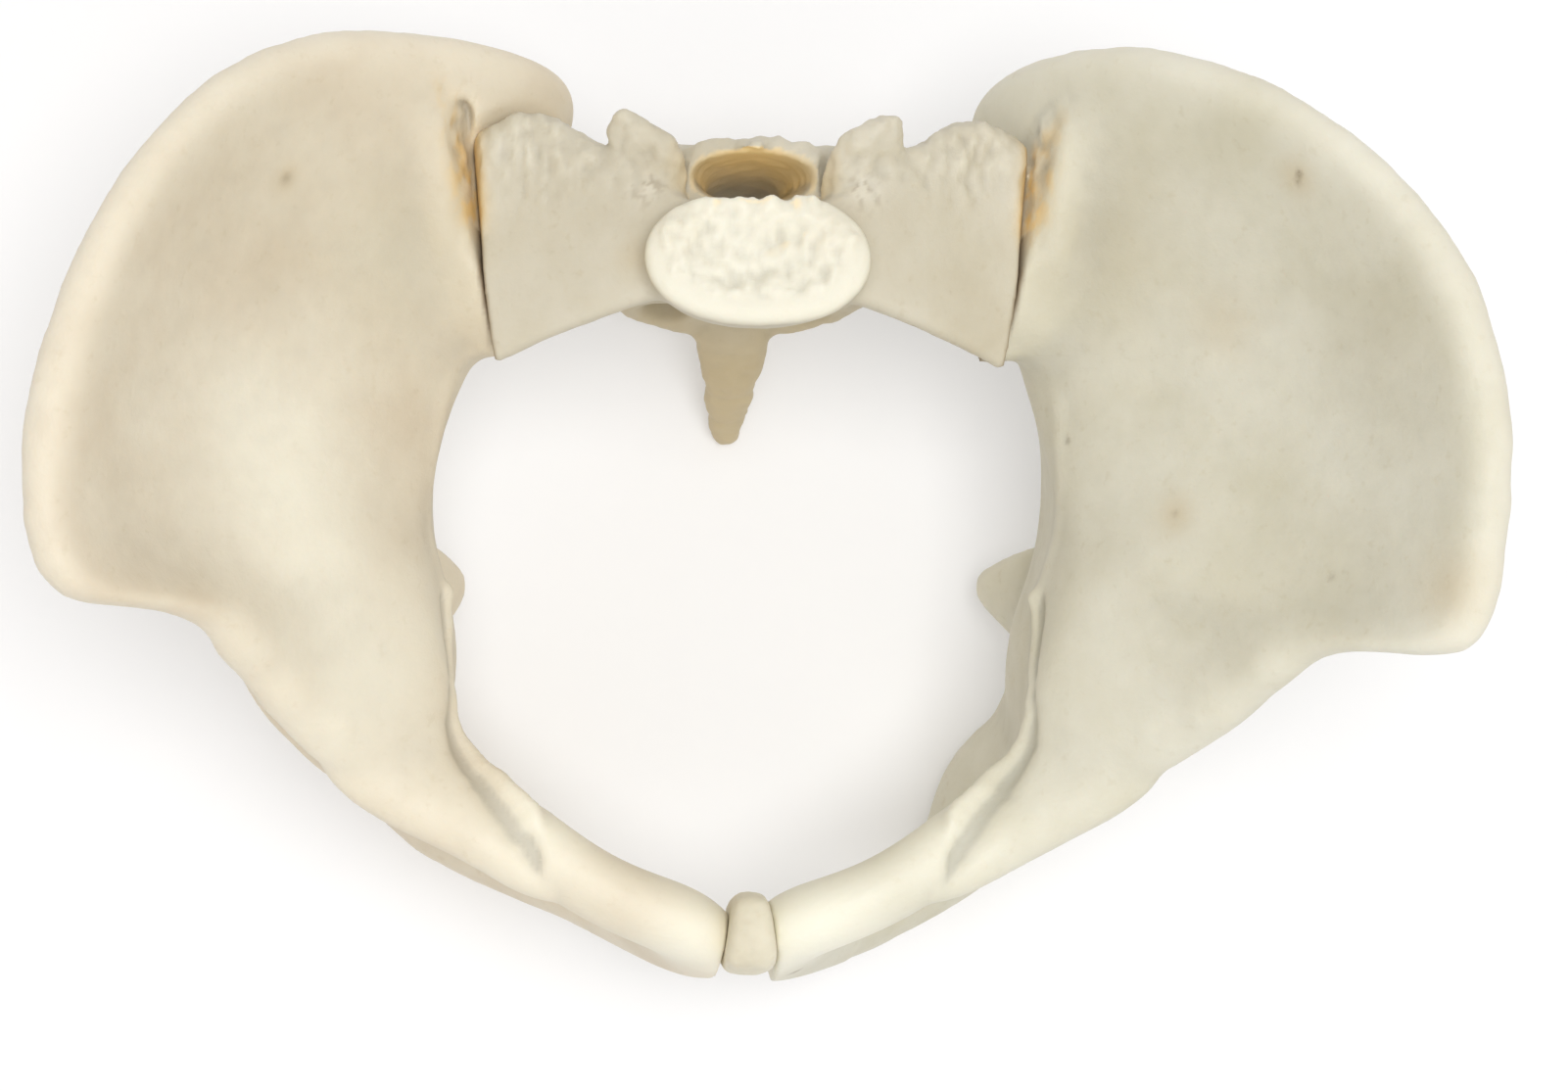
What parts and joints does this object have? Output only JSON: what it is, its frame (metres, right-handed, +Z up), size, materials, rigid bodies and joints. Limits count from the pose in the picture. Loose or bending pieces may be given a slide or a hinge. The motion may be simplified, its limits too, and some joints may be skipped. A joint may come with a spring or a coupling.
{
  "type": "pelvis skeleton model",
  "caption": "Life-size skeleton model of a female pelvis: both hip bones, sacrum with tail bone and the disc of the pubic joint, for teaching anatomy and fitting.",
  "frame": {"origin": "middle of the bounding box at the table, the pelvis lying on both seat bones and the tip of the tail bone", "axes": "+X to the model's own left side, +Y to its back, +Z up; the pubic joint is at -Y"},
  "size_m": [0.2706, 0.1866, 0.1628],
  "materials": {
    "bone_left": "matt cast resin, ivory",
    "bone_right": "matt cast resin, ivory",
    "bone_sacrum": "matt cast resin, ivory, darker towards the tail",
    "disc": "soft translucent resin, greyish cream",
    "steel": "plain steel pins"
  },
  "bodies": {
    "root": {"hip_bone_left": "bone_left", "hip_bone_right": "bone_right", "sacrum": "bone_sacrum", "pubic_disc": "disc", "dowels_left": "steel", "dowels_right": "steel"}
  },
  "joints": []
}
